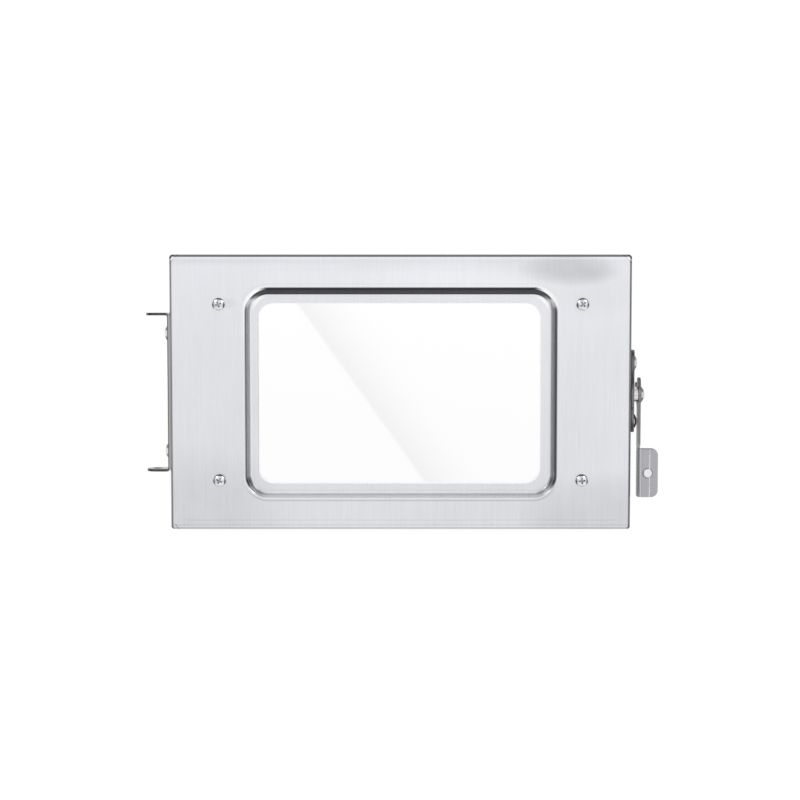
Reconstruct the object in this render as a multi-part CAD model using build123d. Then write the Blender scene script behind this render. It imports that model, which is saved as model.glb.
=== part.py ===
from build123d import *
import os

# A glazed door for a small stove, hung on its left side and latched on its right.
# Millimetres. X to the right, Y to the back, Z up.
# Pieces are drawn about the centre of the front face, where depth is measured to the back.
# They are then moved so that the origin is on the hinge axis, at mid-height.

# Door pan, folded from one sheet
DOOR_WIDTH = 268.0
DOOR_HEIGHT = 160.0
DOOR_DEPTH = 16.0
SHEET = 1.0
PAN_BEND_R = 2.0
CORNER_SEAM = 0.4
SEAM_START = 1.3

# Window recess, drawn into the pan. Both the recess and the window sit a little low,
# and the window a little to the left as well, as they do on the real door.
WINDOW_WIDTH = 165.0
WINDOW_HEIGHT = 105.6
WINDOW_CORNER_R = 9.0
WINDOW_X = -0.7
WINDOW_Z = -1.0
RECESS_Z = -0.7
RECESS_DEPTH = 6.0
RECESS_WALL_WIDTH = 178.0
RECESS_WALL_HEIGHT = 119.0
RECESS_CORNER_R = 12.0
RECESS_MOUTH_R = 2.6
RECESS_FOOT_R = 2.3

# Glass with its folded gasket tape
GLASS_WIDTH = 176.0
GLASS_HEIGHT = 117.0
GLASS_THICKNESS = 4.0
GLASS_CORNER_R = 8.0
GLASS_EDGE_BREAK = 0.4
GASKET = 1.0
GASKET_LEG = 4.5

# Retainer, a pressed frame behind the glass
RETAINER_WIDTH = 228.0
RETAINER_HEIGHT = 142.0
RETAINER_CORNER_R = 6.0
RETAINER_OPENING_GAP = 1.0
RETAINER_SIDE_GAP = 3.0
RETAINER_WALL_CORNER_R = 14.0
RETAINER_FOLD = 0.9

# Glass screws, washers and nuts
SCREW_X = 105.4
SCREW_Z = 51.2
SCREW_R = 1.95
SCREW_HOLE_R = 2.15
SCREW_LENGTH = 7.5
SCREW_HEAD_R = 3.7
SCREW_HEAD_HEIGHT = 2.5
SCREW_HEAD_SIDE = 0.7
SCREW_HEAD_SHOULDER = (3.2, 1.8)
SCREW_HEAD_TOP_R = 2.3
SCREW_TIP_CHAMFER = 0.4
CROSS_SPAN = 4.3
CROSS_WIDTH = 1.05
CROSS_DEPTH = 1.7
CROSS_TAPER = 12.0
CROSS_TURNS = {"top_left": 20.0, "bottom_left": 64.0, "top_right": 38.0, "bottom_right": 5.0}
WASHER_R = 4.5
WASHER_THICKNESS = 0.8
NUT_ACROSS_FLATS = 7.0
NUT_THICKNESS = 3.2
NUT_BORE_R = 2.0
NUT_CORNER_R = 3.85
NUT_CORNER_BEVEL = 0.5

# Hinge bracket on the left flange
AXIS_DEPTH = 8.0
AXIS_OUT = 6.9
BRACKET_SHEET = 1.5
BRACKET_HEIGHT = 92.5
BRACKET_BEND_R = 2.5
EAR_R = 6.0
PIN_BORE_R = 2.5
HINGE_RIVET_Z = 34.3

# Latch on the right flange
PLATE_THICKNESS = 2.0
PLATE_LENGTH = 48.0
PLATE_WIDTH = 11.0
PLATE_CORNER_R = 2.0
PLATE_MIDDLE_Z = 0.7
PLATE_RIVET_Z = 17.1
PIVOT_Z = -1.5
BUSH_R = 4.5
BUSH_LENGTH = 2.5
LEVER_SHEET = 1.5
LEVER_PLAY = 0.1
HUB_R = 6.0
ARM_WIDTH = 7.0
FINGER_RISE = 10.0
NOTCH_WIDTH = 5.5
NOTCH_FLOOR = 1.25
NOSE_RISE = 6.6
NOSE_CREST = 2.2
NOSE_BACK = 15.0
NOSE_HEEL = 1.0
HORN_UNDER = 6.0
HORN_CORNER_R = 1.2
ARM_ROOT_R = 3.0
TAB_TOP_Z = -32.7
TAB_BOTTOM_Z = -61.4
TAB_OUT = 150.2
TAB_FORWARD = 5.0
TAB_BEND_R = 3.0
TAB_CORNER_R = 4.0
RELIEF_WIDTH = 2.2
RELIEF_HEIGHT = 1.4
TAB_RIVET_X = 144.2
TAB_RIVET_Z = -47.3
TAB_RIVET_R = 2.6
TAB_RIVET_RISE = 0.9
TAB_RIVET_SHANK_R = 1.5
TAB_RIVET_BEVEL = 0.4
TAB_REAR_CORNER_R = 1.75

# Domed rivets, all of one kind
RIVET_R = 2.45
RIVET_HOLE_R = 2.5
RIVET_HEAD_R = 5.1
RIVET_HEAD_HEIGHT = 2.2
RIVET_TAIL_R = 4.0
RIVET_TAIL_HEIGHT = 1.6
RIVET_TAIL_BEVEL = 0.7
PIVOT_HEAD_HEIGHT = 2.4

# The tolerance used to pick edges, and how far a cutting tool runs past what it cuts
SMALL = 0.01
OVERRUN = 1.0

# Worked out
HALF_WIDTH = DOOR_WIDTH / 2
HALF_HEIGHT = DOOR_HEIGHT / 2
HINGE_TO_CENTRE = HALF_WIDTH + BRACKET_SHEET + AXIS_OUT
GASKET_FRONT = RECESS_DEPTH + SHEET
GLASS_FRONT = GASKET_FRONT + GASKET
GLASS_BACK = GLASS_FRONT + GLASS_THICKNESS
GASKET_BACK = GLASS_BACK + GASKET
RETAINER_BACK = GASKET_BACK + SHEET
PLATE_FACE = HALF_WIDTH + PLATE_THICKNESS
BUSH_FACE = PLATE_FACE + BUSH_LENGTH
LEVER_FACE = BUSH_FACE + LEVER_PLAY
LEVER_BACK = LEVER_FACE + LEVER_SHEET
PIVOT_HEAD_FACE = LEVER_BACK + LEVER_PLAY
CORNERS = {
    "top_left": (-SCREW_X, SCREW_Z),
    "bottom_left": (-SCREW_X, -SCREW_Z),
    "top_right": (SCREW_X, SCREW_Z),
    "bottom_right": (SCREW_X, -SCREW_Z),
}


def slab(outline, front, back):
    """An outline seen from the front, given thickness between two depths."""
    return extrude(Plane.XZ.offset(-front) * outline, amount=front - back)


def rounded_slab(width, height, corner_r, front, back, middle=(0, 0)):
    return slab(Pos(*middle) * RectangleRounded(width, height, corner_r), front, back)


def cross_bar(radius, x_from, x_to, depth, z):
    """A round bar along X between two places."""
    start = Plane(origin=(x_from, depth, z), z_dir=(1, 0, 0))
    return extrude(start * Circle(radius), amount=x_to - x_from)


def depth_bar(radius, x, z, front, back):
    """A round bar along the depth between two depths."""
    return slab(Pos(x, z) * Circle(radius), front, back)


def edges_at(part, depth, width, height):
    """The edges that lie in one plane of depth, inside a width and height about the recess."""
    level = part.edges().filter_by_position(Axis.Y, depth - SMALL, depth + SMALL)
    level = level.filter_by_position(Axis.X, -width / 2, width / 2)
    return level.filter_by_position(Axis.Z, RECESS_Z - height / 2, RECESS_Z + height / 2)


def folded_block(width, height, bend_r, front, back):
    """A block with its front edges and its corners rounded alike."""
    block = slab(Rectangle(width, height), front, back)
    folds = block.edges().filter_by(Axis.Y) + block.edges().group_by(Axis.Y)[0]
    return fillet(folds, bend_r)


def pan_shell():
    """The folded pan without its recess: a front face and four flanges."""
    outer = folded_block(DOOR_WIDTH, DOOR_HEIGHT, PAN_BEND_R, 0, DOOR_DEPTH)
    inner = folded_block(
        DOOR_WIDTH - 2 * SHEET, DOOR_HEIGHT - 2 * SHEET, PAN_BEND_R - SHEET, SHEET, DOOR_DEPTH + OVERRUN
    )
    return outer - inner


def corner_seams():
    """The slits left at the pan's corners, where two flanges meet."""
    seams = []
    reach = 4 * PAN_BEND_R
    end_depth = DOOR_DEPTH + OVERRUN
    for side in (-1, 1):
        for end in (-1, 1):
            slit = Rotation(0, 0, 45 * side * end) * Rectangle(reach, CORNER_SEAM)
            seams.append(slab(Pos(side * HALF_WIDTH, end * HALF_HEIGHT) * slit, SEAM_START, end_depth))
    return seams


def door_panel():
    """The pan with its drawn recess, all of one sheet thickness."""
    middle = (0, RECESS_Z)
    width = RECESS_WALL_WIDTH
    height = RECESS_WALL_HEIGHT
    tray_width = width + 2 * SHEET
    tray_height = height + 2 * SHEET
    tray = rounded_slab(tray_width, tray_height, RECESS_CORNER_R + SHEET, SHEET / 2, GASKET_FRONT, middle)
    tray = fillet(tray.edges().group_by(Axis.Y)[-1], RECESS_FOOT_R + SHEET)
    panel = pan_shell() + tray
    root = edges_at(panel, SHEET, tray_width + SHEET, tray_height + SHEET)
    panel = fillet(root, RECESS_MOUTH_R - SHEET)
    cavity = rounded_slab(width, height, RECESS_CORNER_R, -OVERRUN, RECESS_DEPTH, middle)
    cavity = fillet(cavity.edges().group_by(Axis.Y)[-1], RECESS_FOOT_R)
    panel -= cavity
    mouth = edges_at(panel, 0, tray_width, tray_height)
    panel = fillet(mouth, RECESS_MOUTH_R)
    panel -= rounded_slab(WINDOW_WIDTH, WINDOW_HEIGHT, WINDOW_CORNER_R, 0, DOOR_DEPTH, (WINDOW_X, WINDOW_Z))
    for x, z in CORNERS.values():
        panel -= depth_bar(SCREW_HOLE_R, x, z, -OVERRUN, SHEET + OVERRUN)
    for z in (HINGE_RIVET_Z, -HINGE_RIVET_Z):
        panel -= cross_bar(RIVET_HOLE_R, -HALF_WIDTH - OVERRUN, SHEET + OVERRUN - HALF_WIDTH, AXIS_DEPTH, z)
    for z in (PLATE_RIVET_Z, -PLATE_RIVET_Z, PIVOT_Z):
        panel -= cross_bar(RIVET_HOLE_R, HALF_WIDTH - SHEET - OVERRUN, HALF_WIDTH + OVERRUN, AXIS_DEPTH, z)
    for seam in corner_seams():
        panel -= seam
    return panel


def glass_pane():
    pane = rounded_slab(GLASS_WIDTH, GLASS_HEIGHT, GLASS_CORNER_R, GLASS_FRONT, GLASS_BACK, (0, RECESS_Z))
    rims = pane.edges().group_by(Axis.Y)
    return chamfer(rims[0] + rims[-1], GLASS_EDGE_BREAK)


def glass_gasket():
    """Tape folded round the edge of the glass, with a leg on each face."""
    middle = (0, RECESS_Z)
    width = GLASS_WIDTH + 2 * GASKET
    height = GLASS_HEIGHT + 2 * GASKET
    wrap = rounded_slab(width, height, GLASS_CORNER_R + GASKET, GASKET_FRONT, GASKET_BACK, middle)
    sight_width = GLASS_WIDTH - 2 * GASKET_LEG
    sight_height = GLASS_HEIGHT - 2 * GASKET_LEG
    sight = rounded_slab(sight_width, sight_height, GLASS_CORNER_R, 0, DOOR_DEPTH, middle)
    return wrap - sight - glass_pane()


def glass_retainer():
    """A pressed frame: a flange on the pan, a wall round the glass and a lip on the gasket."""
    middle = (0, RECESS_Z)
    wall_width = RECESS_WALL_WIDTH + 2 * RETAINER_SIDE_GAP
    wall_height = RECESS_WALL_HEIGHT + 2 * RETAINER_SIDE_GAP
    box_width = wall_width + 2 * SHEET
    box_height = wall_height + 2 * SHEET
    box_corner_r = RETAINER_WALL_CORNER_R + SHEET
    box = rounded_slab(box_width, box_height, box_corner_r, SHEET, RETAINER_BACK, middle)
    box = chamfer(box.edges().group_by(Axis.Y)[-1], RETAINER_FOLD)
    frame = rounded_slab(RETAINER_WIDTH, RETAINER_HEIGHT, RETAINER_CORNER_R, SHEET, 2 * SHEET) + box
    foot = edges_at(frame, 2 * SHEET, box_width + SHEET, box_height + SHEET)
    frame = chamfer(foot, RETAINER_FOLD)
    room = rounded_slab(wall_width, wall_height, RETAINER_WALL_CORNER_R, 0, GASKET_BACK, middle)
    room = chamfer(room.edges().group_by(Axis.Y)[-1], RETAINER_FOLD)
    frame -= room
    mouth = edges_at(frame, SHEET, box_width, box_height)
    frame = chamfer(mouth, RETAINER_FOLD)
    frame -= rounded_slab(
        WINDOW_WIDTH + 2 * RETAINER_OPENING_GAP,
        WINDOW_HEIGHT + 2 * RETAINER_OPENING_GAP,
        WINDOW_CORNER_R + RETAINER_OPENING_GAP,
        0,
        DOOR_DEPTH,
        (WINDOW_X, WINDOW_Z),
    )
    for x, z in CORNERS.values():
        frame -= depth_bar(SCREW_HOLE_R, x, z, 0, DOOR_DEPTH)
    return frame


def cross_recess(turn):
    """Two tapering slots at right angles, cut from the top of the head."""
    arms = Rectangle(CROSS_SPAN, CROSS_WIDTH) + Rectangle(CROSS_WIDTH, CROSS_SPAN)
    return extrude(Rotation(0, 0, turn) * arms, amount=-CROSS_DEPTH, taper=CROSS_TAPER)


def glass_screw(turn):
    """A pan-head screw along Z, head up, seat at the origin."""
    side = Polyline(
        (0, -SCREW_LENGTH),
        (SCREW_R - SCREW_TIP_CHAMFER, -SCREW_LENGTH),
        (SCREW_R, SCREW_TIP_CHAMFER - SCREW_LENGTH),
        (SCREW_R, 0),
        (SCREW_HEAD_R, 0),
        (SCREW_HEAD_R, SCREW_HEAD_SIDE),
        SCREW_HEAD_SHOULDER,
        (SCREW_HEAD_TOP_R, SCREW_HEAD_HEIGHT),
        (0, SCREW_HEAD_HEIGHT),
        (0, -SCREW_LENGTH),
    )
    screw = revolve(Plane.XZ * make_face(side), Axis.Z)
    return screw - Pos(0, 0, SCREW_HEAD_HEIGHT) * cross_recess(turn)


def facing_front(part, x, z, depth):
    """Turns a piece drawn along Z so that its top faces the front, and puts it in place."""
    return Pos(x, depth, z) * Rotation(90, 0, 0) * part


def washer():
    ring = Circle(WASHER_R) - Circle(SCREW_HOLE_R)
    return extrude(ring, amount=-WASHER_THICKNESS)


def nut():
    """A hexagon nut with its corners bevelled on the free face."""
    hexagon = RegularPolygon(NUT_ACROSS_FLATS / 2, 6, major_radius=False) - Circle(NUT_BORE_R)
    body = extrude(hexagon, amount=-NUT_THICKNESS)
    round_off = extrude(Circle(NUT_CORNER_R), amount=-NUT_THICKNESS)
    return body & chamfer(round_off.edges().group_by(Axis.Z)[0], NUT_CORNER_BEVEL)


def domed_rivet(grip, head_height):
    """A rivet along Z, head up, with its head seated on the origin and its tail formed below the grip."""
    dome_r = (RIVET_HEAD_R**2 + head_height**2) / (2 * head_height)
    dome = RadiusArc((RIVET_HEAD_R, 0), (0, head_height), -dome_r)
    outline = dome + Polyline(
        (0, head_height),
        (0, -grip - RIVET_TAIL_HEIGHT),
        (RIVET_TAIL_R, -grip - RIVET_TAIL_HEIGHT),
        (RIVET_TAIL_R, -grip),
        (RIVET_R, -grip),
        (RIVET_R, 0),
        (RIVET_HEAD_R, 0),
    )
    rivet = revolve(Plane.XZ * make_face(outline), Axis.Z)
    return chamfer(rivet.edges().group_by(Axis.Z)[0], RIVET_TAIL_BEVEL)


def facing_side(part, x, z, side):
    """Turns a piece drawn along Z so that its top faces out of one side flange."""
    return Pos(x, AXIS_DEPTH, z) * Rotation(0, 90 * side, 0) * part


def hinge_bracket():
    """A bent channel: a web on the flange and two ears with rounded ends."""
    axis_x = -HALF_WIDTH - BRACKET_SHEET - AXIS_OUT
    tip_x = axis_x - EAR_R
    half = BRACKET_HEIGHT / 2
    reach = -HALF_WIDTH - tip_x
    middle_x = tip_x + reach / 2
    outer = Pos(middle_x, 0) * Rectangle(reach, BRACKET_HEIGHT)
    outer = fillet(outer.vertices().group_by(Axis.X)[-1], BRACKET_BEND_R)
    inner = Pos(middle_x - BRACKET_SHEET, 0) * Rectangle(reach, BRACKET_HEIGHT - 2 * BRACKET_SHEET)
    inner = fillet(inner.vertices().group_by(Axis.X)[-1], BRACKET_BEND_R - BRACKET_SHEET)
    channel = slab(outer - inner, AXIS_DEPTH - EAR_R, AXIS_DEPTH + EAR_R)
    length = -HALF_WIDTH - axis_x
    ear = Pos(axis_x, AXIS_DEPTH) * Circle(EAR_R)
    ear += Pos(axis_x + length / 2, AXIS_DEPTH) * Rectangle(length, 2 * EAR_R)
    channel &= Pos(0, 0, -half) * extrude(ear, amount=BRACKET_HEIGHT)
    pin = Pos(axis_x, AXIS_DEPTH, -half) * extrude(Circle(PIN_BORE_R), amount=BRACKET_HEIGHT)
    channel -= pin
    web_face = -HALF_WIDTH - BRACKET_SHEET
    for z in (HINGE_RIVET_Z, -HINGE_RIVET_Z):
        channel -= cross_bar(RIVET_HOLE_R, web_face - OVERRUN, OVERRUN - HALF_WIDTH, AXIS_DEPTH, z)
    return channel


def latch_plate():
    outline = Pos(AXIS_DEPTH, PLATE_MIDDLE_Z) * RectangleRounded(PLATE_WIDTH, PLATE_LENGTH, PLATE_CORNER_R)
    plate = Pos(HALF_WIDTH, 0, 0) * extrude(Plane.YZ * outline, amount=PLATE_THICKNESS)
    for z in (PLATE_RIVET_Z, -PLATE_RIVET_Z, PIVOT_Z):
        plate -= cross_bar(RIVET_HOLE_R, HALF_WIDTH - OVERRUN, PLATE_FACE + OVERRUN, AXIS_DEPTH, z)
    return plate


def pivot_bush():
    bush = cross_bar(BUSH_R, PLATE_FACE, BUSH_FACE, AXIS_DEPTH, PIVOT_Z)
    bush -= cross_bar(RIVET_HOLE_R, PLATE_FACE, BUSH_FACE, AXIS_DEPTH, PIVOT_Z)
    return bush


def lever_outline():
    """The lever seen from its side, about its pivot: finger, hook, hub and arm. X is depth, Y is height."""
    half_arm = ARM_WIDTH / 2
    finger = Pos(0, (FINGER_RISE - half_arm) / 2) * Rectangle(ARM_WIDTH, FINGER_RISE - half_arm)
    finger += Pos(0, FINGER_RISE - half_arm) * Circle(half_arm)
    nose_front = half_arm + NOTCH_WIDTH
    notch_r = NOTCH_WIDTH / 2
    notch_middle_z = NOTCH_FLOOR + notch_r
    horn = make_face(
        Polyline(
            (0, -HORN_UNDER),
            (nose_front, -HORN_UNDER + NOSE_HEEL),
            (NOSE_BACK - NOSE_HEEL, -NOSE_HEEL),
            (NOSE_BACK, NOTCH_FLOOR),
            (nose_front + NOSE_CREST, NOSE_RISE),
            (nose_front, NOSE_RISE),
            (nose_front, notch_middle_z),
            (0, notch_middle_z),
            (0, -HORN_UNDER),
        )
    )
    outer_corners = horn.vertices().filter_by_position(Axis.X, nose_front + SMALL, NOSE_BACK + SMALL)
    horn = fillet(outer_corners, HORN_CORNER_R)
    notch = Pos(half_arm + notch_r, notch_middle_z) * Circle(notch_r)
    arm_length = PIVOT_Z - TAB_BOTTOM_Z
    arm = Pos(0, -arm_length / 2) * Rectangle(ARM_WIDTH, arm_length)
    body = Circle(HUB_R) + horn + arm
    roots = body.vertices().filter_by_position(Axis.Y, -2 * HUB_R, -HUB_R / 2)
    roots = roots.filter_by_position(Axis.X, -half_arm - SMALL, half_arm + SMALL)
    roots = roots.sort_by(Axis.Y)[-2:]
    body = fillet(roots, ARM_ROOT_R)
    return body - notch + finger


def finger_tab():
    """The arm's front edge, bent outwards to face the front."""
    front = AXIS_DEPTH - TAB_FORWARD
    width = TAB_OUT - LEVER_FACE
    length = TAB_FORWARD + ARM_WIDTH / 2
    height = TAB_TOP_Z - TAB_BOTTOM_Z
    outer = Pos(LEVER_FACE, front) * Rectangle(width, length, align=Align.MIN)
    inner = Pos(LEVER_BACK, front + LEVER_SHEET) * Rectangle(width, length, align=Align.MIN)
    outer = fillet(outer.vertices().group_by(Axis.X)[0].group_by(Axis.Y)[0], TAB_BEND_R)
    inner = fillet(inner.vertices().group_by(Axis.X)[0].group_by(Axis.Y)[0], TAB_BEND_R - LEVER_SHEET)
    bend = Pos(0, 0, TAB_BOTTOM_Z) * extrude(outer - inner, amount=height)
    face = Pos(LEVER_FACE, TAB_BOTTOM_Z) * Rectangle(width, height, align=Align.MIN)
    face = fillet(face.vertices().group_by(Axis.X)[-1], TAB_CORNER_R)
    return bend & slab(face, 0, DOOR_DEPTH)


def latch_lever():
    """One bent sheet. The flat arm stops at the tab, whose bend carries on from it."""
    flat = extrude(Plane.YZ * lever_outline(), amount=LEVER_SHEET)
    flat = Pos(LEVER_FACE, AXIS_DEPTH, PIVOT_Z) * flat
    front_of_arm = AXIS_DEPTH - ARM_WIDTH / 2
    tab_height = TAB_TOP_Z - TAB_BOTTOM_Z
    bend_zone = Pos(
        LEVER_FACE + LEVER_SHEET / 2, front_of_arm, TAB_BOTTOM_Z + (tab_height + RELIEF_HEIGHT) / 2
    ) * Box(2 * LEVER_SHEET, 2 * RELIEF_WIDTH, tab_height + RELIEF_HEIGHT)
    lever = flat - bend_zone + finger_tab()
    rear_corner = lever.edges().filter_by(Axis.X).group_by(Axis.Z)[0].group_by(Axis.Y)[-1]
    lever = fillet(rear_corner, TAB_REAR_CORNER_R)
    lever -= cross_bar(RIVET_HOLE_R, LEVER_FACE - OVERRUN, LEVER_BACK + OVERRUN, AXIS_DEPTH, PIVOT_Z)
    lever -= depth_bar(TAB_RIVET_SHANK_R, TAB_RIVET_X, TAB_RIVET_Z, 0, DOOR_DEPTH)
    return lever


def tab_rivet():
    """A small rivet through the finger tab, with a low bevelled head on each face."""
    front = AXIS_DEPTH - TAB_FORWARD
    head = depth_bar(TAB_RIVET_R, TAB_RIVET_X, TAB_RIVET_Z, front - TAB_RIVET_RISE, front)
    head = chamfer(head.edges().group_by(Axis.Y)[0], TAB_RIVET_BEVEL)
    shank = depth_bar(TAB_RIVET_SHANK_R, TAB_RIVET_X, TAB_RIVET_Z, front, front + LEVER_SHEET)
    tail_front = front + LEVER_SHEET
    tail = depth_bar(TAB_RIVET_R, TAB_RIVET_X, TAB_RIVET_Z, tail_front, tail_front + TAB_RIVET_RISE)
    tail = chamfer(tail.edges().group_by(Axis.Y)[-1], TAB_RIVET_BEVEL)
    return head + shank + tail


def all_pieces():
    """Every piece by name, about the centre of the front face."""
    pieces = {
        "door_panel": door_panel(),
        "glass_pane": glass_pane(),
        "glass_gasket": glass_gasket(),
        "glass_retainer": glass_retainer(),
        "hinge_bracket": hinge_bracket(),
        "latch_plate": latch_plate(),
        "pivot_bush": pivot_bush(),
        "latch_lever": latch_lever(),
        "tab_rivet": tab_rivet(),
    }
    washer_seat = 2 * SHEET
    nut_seat = washer_seat + WASHER_THICKNESS
    for corner, (x, z) in CORNERS.items():
        pieces["glass_screw_" + corner] = facing_front(glass_screw(CROSS_TURNS[corner]), x, z, 0)
        pieces["glass_washer_" + corner] = facing_front(washer(), x, z, washer_seat)
        pieces["glass_nut_" + corner] = facing_front(nut(), x, z, nut_seat)
    hinge_face = -HALF_WIDTH - BRACKET_SHEET
    hinge_rivet = domed_rivet(BRACKET_SHEET + SHEET, RIVET_HEAD_HEIGHT)
    plate_rivet = domed_rivet(PLATE_THICKNESS + SHEET, RIVET_HEAD_HEIGHT)
    for place, way in (("upper", 1), ("lower", -1)):
        pieces["hinge_rivet_" + place] = facing_side(hinge_rivet, hinge_face, way * HINGE_RIVET_Z, -1)
        pieces["latch_plate_rivet_" + place] = facing_side(plate_rivet, PLATE_FACE, way * PLATE_RIVET_Z, 1)
    pivot = domed_rivet(PIVOT_HEAD_FACE - HALF_WIDTH + SHEET, PIVOT_HEAD_HEIGHT)
    pieces["pivot_rivet"] = facing_side(pivot, PIVOT_HEAD_FACE, PIVOT_Z, 1)
    return pieces


os.makedirs("parts", exist_ok=True)
to_hinge_axis = Pos(HINGE_TO_CENTRE, -AXIS_DEPTH, 0)
for name, piece in all_pieces().items():
    export_step(to_hinge_axis * piece, "parts/" + name + ".step")
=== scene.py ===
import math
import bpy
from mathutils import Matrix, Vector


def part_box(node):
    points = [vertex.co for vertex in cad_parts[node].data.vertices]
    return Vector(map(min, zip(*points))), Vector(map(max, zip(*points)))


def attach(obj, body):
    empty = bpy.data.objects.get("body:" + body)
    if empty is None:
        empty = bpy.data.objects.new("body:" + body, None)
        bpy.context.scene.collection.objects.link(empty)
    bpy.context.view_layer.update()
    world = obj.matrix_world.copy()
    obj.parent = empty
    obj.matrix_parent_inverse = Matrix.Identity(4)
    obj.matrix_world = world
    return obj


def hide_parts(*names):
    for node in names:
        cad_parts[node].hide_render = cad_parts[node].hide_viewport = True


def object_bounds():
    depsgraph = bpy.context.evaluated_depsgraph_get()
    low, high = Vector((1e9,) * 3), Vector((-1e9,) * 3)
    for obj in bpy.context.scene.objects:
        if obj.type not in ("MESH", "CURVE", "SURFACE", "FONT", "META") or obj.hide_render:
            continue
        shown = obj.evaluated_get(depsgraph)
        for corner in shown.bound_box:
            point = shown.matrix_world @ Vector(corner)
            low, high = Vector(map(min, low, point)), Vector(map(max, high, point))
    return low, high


bl_info = {
    "name": "Glass stove door",
    "version": (1, 0, 0),
    "blender": (4, 5, 0),
    "location": "View3D > Sidebar > Stove door",
    "description": "Finishes a small stove's glazed door and sets a plain studio round it",
    "category": "Add Mesh",
}

import bpy
from bpy.props import FloatProperty, FloatVectorProperty, PointerProperty
from bpy.types import Operator, Panel, PropertyGroup
from mathutils import Vector

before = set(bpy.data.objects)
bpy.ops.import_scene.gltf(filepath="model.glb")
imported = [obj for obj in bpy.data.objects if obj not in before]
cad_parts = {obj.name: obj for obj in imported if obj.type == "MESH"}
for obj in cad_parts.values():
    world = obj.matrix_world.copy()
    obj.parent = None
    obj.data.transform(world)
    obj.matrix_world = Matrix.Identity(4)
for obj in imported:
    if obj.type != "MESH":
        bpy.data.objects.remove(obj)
CAD_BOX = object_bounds()
MM = 0.001

# Places read from the frame, in metres. FACE is the middle of the pan's front face.
PANEL_LOW, PANEL_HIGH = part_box("door_panel")
PANEL_MIDDLE = (PANEL_LOW + PANEL_HIGH) / 2
FACE = Vector((PANEL_MIDDLE.x, PANEL_LOW.y, PANEL_MIDDLE.z))
TAB_RIVET_LOW, TAB_RIVET_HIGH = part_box("tab_rivet")

# Sizes of the solids. FLANGE_OUT, SCREW_X and SCREW_Z run from the middle of the face.
RECESS_HALF_WIDTH = 89 * MM
RECESS_HALF_HEIGHT = 59.5 * MM
RECESS_CORNER = 12 * MM
RECESS_DROP = 0.7 * MM
RECESS_DEPTH = 6 * MM
BRACKET_SHEET = 1.5 * MM
AXIS_OUT, AXIS_DEPTH = 6.9 * MM, 8 * MM
PIN_HOLE_RADIUS = 2.5 * MM
FLANGE_OUT = 134 * MM
SCREW_X, SCREW_Z = 105.4 * MM, 51.2 * MM
TAB_RIVET_RADIUS = 2.6 * MM

# Places in the frame of the hinge web's outer face, the lever's inner face and the tab's top
WEB_OUTSIDE = PANEL_LOW.x - BRACKET_SHEET
LEVER_INSIDE = FACE.x + 138.6 * MM
TAB_TOP = FACE.z - 32.7 * MM

# Shares of red, green and blue
PLAIN = (1.0, 1.0, 1.0)
COOL = (1.01, 1.0, 1.055)
WARM = (1.05, 1.0, 0.985)
# The last share colours the painted shade on the recess's wall
SHADE_TINT = (1.2, 1.0, 1.3)

# How far the cross of each glass screw is turned, in degrees
CROSS_TURNS = {"top_left": 20, "bottom_left": 64, "top_right": 38, "bottom_right": 5}
# Edges of an added piece that bend by more than this stay sharp
SHARPEST_SMOOTH = math.radians(32)

# The photograph is 800 pixels wide, and this many millimetres of the door fill one pixel
PHOTO_PIXELS = 800
MM_PER_PIXEL = 0.5804
DOOR_MIDDLE_PIXEL = (400.6, 392.65)


class Socket:
    """An output of a node, which takes part in plain arithmetic."""

    def __init__(self, nodes, output):
        self.nodes = nodes
        self.output = output

    def math(self, operation, *others):
        values = dict(enumerate((self, *others)))
        return self.nodes.node("ShaderNodeMath", {"operation": operation}, values)

    def __add__(self, other):
        return self.math("ADD", other)

    __radd__ = __add__

    def __mul__(self, other):
        return self.math("MULTIPLY", other)

    __rmul__ = __mul__

    def __sub__(self, other):
        return self.math("SUBTRACT", other)

    def __rsub__(self, other):
        return (self * -1).math("ADD", other)

    def __truediv__(self, other):
        return self.math("DIVIDE", other)

    def __rtruediv__(self, other):
        return self.math("POWER", -1.0) * other

    def clamped(self):
        return self.nodes.node("ShaderNodeClamp", {}, {"Value": self})

    def between(self, low, high):
        """0 below low, 1 above high, and a smooth step from one to the other."""
        settings = {"interpolation_type": "SMOOTHSTEP"}
        values = {"Value": self, "From Min": low, "From Max": high}
        return self.nodes.node("ShaderNodeMapRange", settings, values)

    def band(self, middle, half_width, soft):
        """1 within half a width of the middle, fading to 0 over the soft edge."""
        return 1 - (self - middle).math("ABSOLUTE").between(half_width, half_width + soft)


class Nodes:
    """Writes the nodes of one tree."""

    def __init__(self, tree):
        self.tree = tree
        tree.nodes.clear()

    def node(self, kind, settings, values, output=0):
        made = self.tree.nodes.new(kind)
        for name, value in settings.items():
            setattr(made, name, value)
        for name, value in values.items():
            for each in value if isinstance(value, list) else [value]:
                if isinstance(each, Socket):
                    self.tree.links.new(each.output, made.inputs[name])
                else:
                    made.inputs[name].default_value = each
        return Socket(self, made.outputs[output])

    def parts(self, vector):
        """The three parts of a vector."""
        split = self.node("ShaderNodeSeparateXYZ", {}, {"Vector": vector})
        return [Socket(self, output) for output in split.output.node.outputs]


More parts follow.
